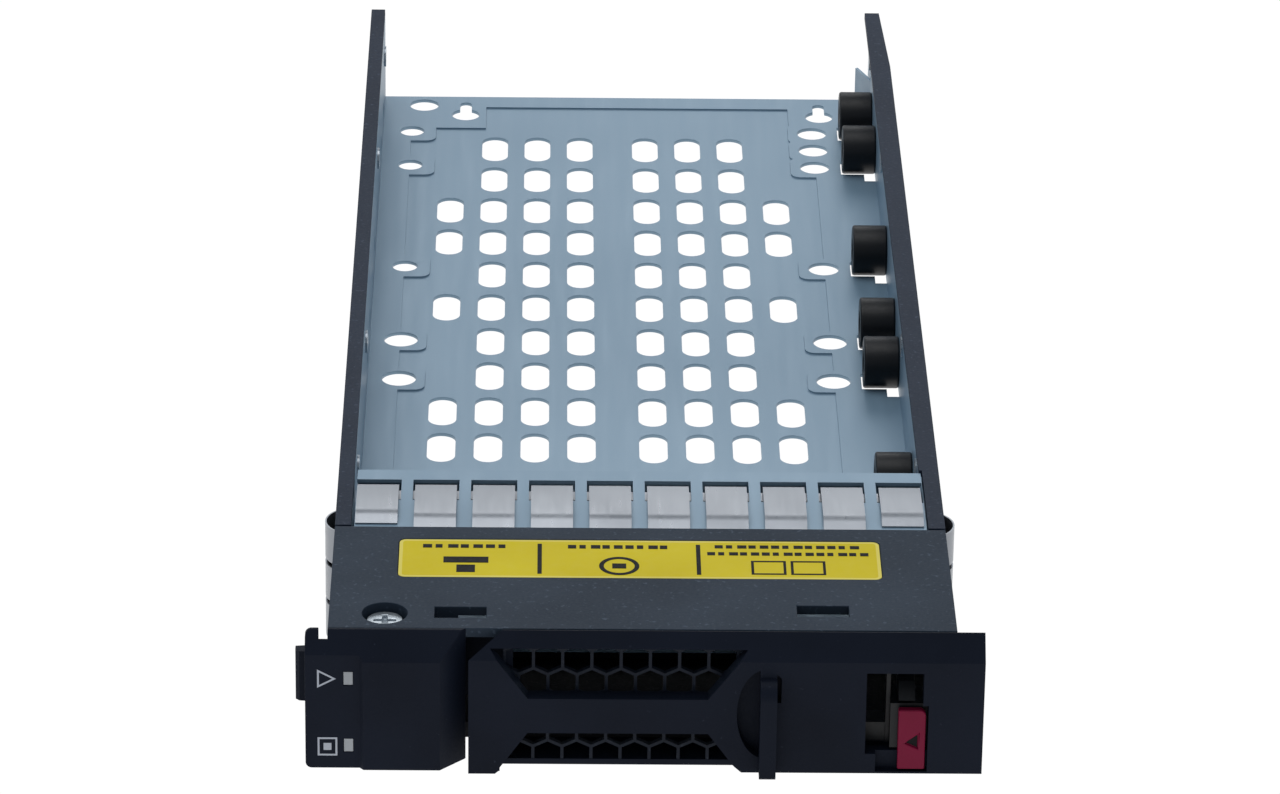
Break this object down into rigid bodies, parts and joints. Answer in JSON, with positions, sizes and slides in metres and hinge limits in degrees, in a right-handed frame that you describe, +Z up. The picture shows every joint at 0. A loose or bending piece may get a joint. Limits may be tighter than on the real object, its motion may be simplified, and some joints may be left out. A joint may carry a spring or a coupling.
{
  "type": "hot-swap drive carrier",
  "caption": "Empty hot-swap carrier for a 2.5-inch hard disk drive: perforated steel tray, plastic side rails, shielding fingers and a hinged front lever with a sprung latch.",
  "frame": {"origin": "middle of the bounding box's base, under the lever's lower edge", "axes": "-Y is the front face with the lever, +Y is the open rear end, +X is the latch side, +Z is up out of the tray"},
  "size_m": [0.0874, 0.2144, 0.02],
  "materials": {
    "tray_steel": "zinc-plated sheet steel, cool grey",
    "rail_plastic": "fine-textured charcoal plastic",
    "spacer_plastic": "smooth black plastic",
    "zinc_steel": "bright zinc-plated steel",
    "spring_steel": "thin stainless spring strip",
    "housing_plastic": "fine-textured charcoal plastic",
    "cover_plastic": "fine-textured charcoal plastic",
    "label_film": "printed film in a yellow tint",
    "bezel_plastic": "fine-textured black plastic",
    "clear_plastic": "clear acrylic light guide",
    "button_plastic": "maroon plastic"
  },
  "bodies": {
    "carrier": {"tray_pan": "tray_steel", "front_bulkhead": "tray_steel", "rail_left": "rail_plastic", "rail_right": "rail_plastic", "spacer_1": "spacer_plastic", "spacer_2": "spacer_plastic", "spacer_3": "spacer_plastic", "spacer_4": "spacer_plastic", "spacer_5": "spacer_plastic", "spacer_6": "spacer_plastic", "rail_rivets": "zinc_steel", "shield_fingers": "spring_steel", "shield_spring_left": "spring_steel", "shield_spring_right": "spring_steel", "lower_housing": "housing_plastic", "top_cover": "cover_plastic", "cover_screw": "zinc_steel", "label_plate": "label_film", "led_bezel": "bezel_plastic", "light_guide_upper": "clear_plastic", "light_guide_lower": "clear_plastic", "pivot_pin": "zinc_steel"},
    "lever": {"lever": "bezel_plastic", "vent_grille": "bezel_plastic", "latch_spring": "zinc_steel"},
    "latch": {"latch_slider": "spacer_plastic", "latch_button": "button_plastic"}
  },
  "joints": [
    {"name": "lever_hinge", "type": "hinge", "parent": "carrier", "child": "lever", "pos_m": [-0.026, -0.09535, 0.0109], "axis": [0, 0, -1], "range_deg": [0, 40]},
    {"name": "latch_slide", "type": "slide", "parent": "lever", "child": "latch", "axis": [-1, 0, 0], "range_m": [0, 0.0025], "stiffness_N_per_m": 200, "springref_m": -0.001, "deforming": ["latch_spring"]}
  ]
}
